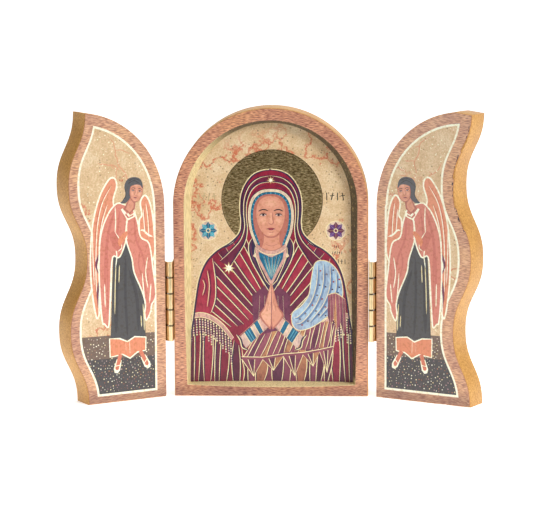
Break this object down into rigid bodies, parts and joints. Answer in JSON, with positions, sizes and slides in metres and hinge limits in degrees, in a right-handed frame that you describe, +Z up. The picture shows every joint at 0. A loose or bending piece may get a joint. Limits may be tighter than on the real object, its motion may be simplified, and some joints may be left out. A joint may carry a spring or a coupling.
{
  "type": "triptych altarpiece",
  "caption": "Small standing devotional triptych: arched centre panel with a recessed painted picture, and wings with wavy outer edges that close over it on brass hinges.",
  "frame": {"origin": "middle of the centre panel's underside, halfway through its thickness, on the table", "axes": "+Z up, the painted front faces -Y, +X to the right as seen from the front"},
  "size_m": [0.2168, 0.0504, 0.15],
  "materials": {
    "painted_board": "ochre gold paint on wood fibre board, satin",
    "printed_sheet": "varnished print with gold foil, semi gloss",
    "hinge_brass": "plated, bright"
  },
  "bodies": {
    "centre": {"centre_board": "painted_board", "centre_print": "printed_sheet", "left_hinge_centre_leaf": "hinge_brass", "left_hinge_pin": "hinge_brass", "right_hinge_centre_leaf": "hinge_brass", "right_hinge_pin": "hinge_brass"},
    "left_wing": {"left_wing_board": "painted_board", "left_wing_print": "printed_sheet", "left_hinge_wing_leaf": "hinge_brass"},
    "right_wing": {"right_wing_board": "painted_board", "right_wing_print": "printed_sheet", "right_hinge_wing_leaf": "hinge_brass"}
  },
  "joints": [
    {"name": "left_wing_hinge", "type": "hinge", "parent": "centre", "child": "left_wing", "pos_m": [-0.0519, -0.0117, 0.05], "axis": [0, 0, 1], "range_deg": [-32.5, 147.5]},
    {"name": "right_wing_hinge", "type": "hinge", "parent": "centre", "child": "right_wing", "pos_m": [0.0519, -0.0117, 0.05], "axis": [0, 0, -1], "range_deg": [-29, 151]}
  ]
}
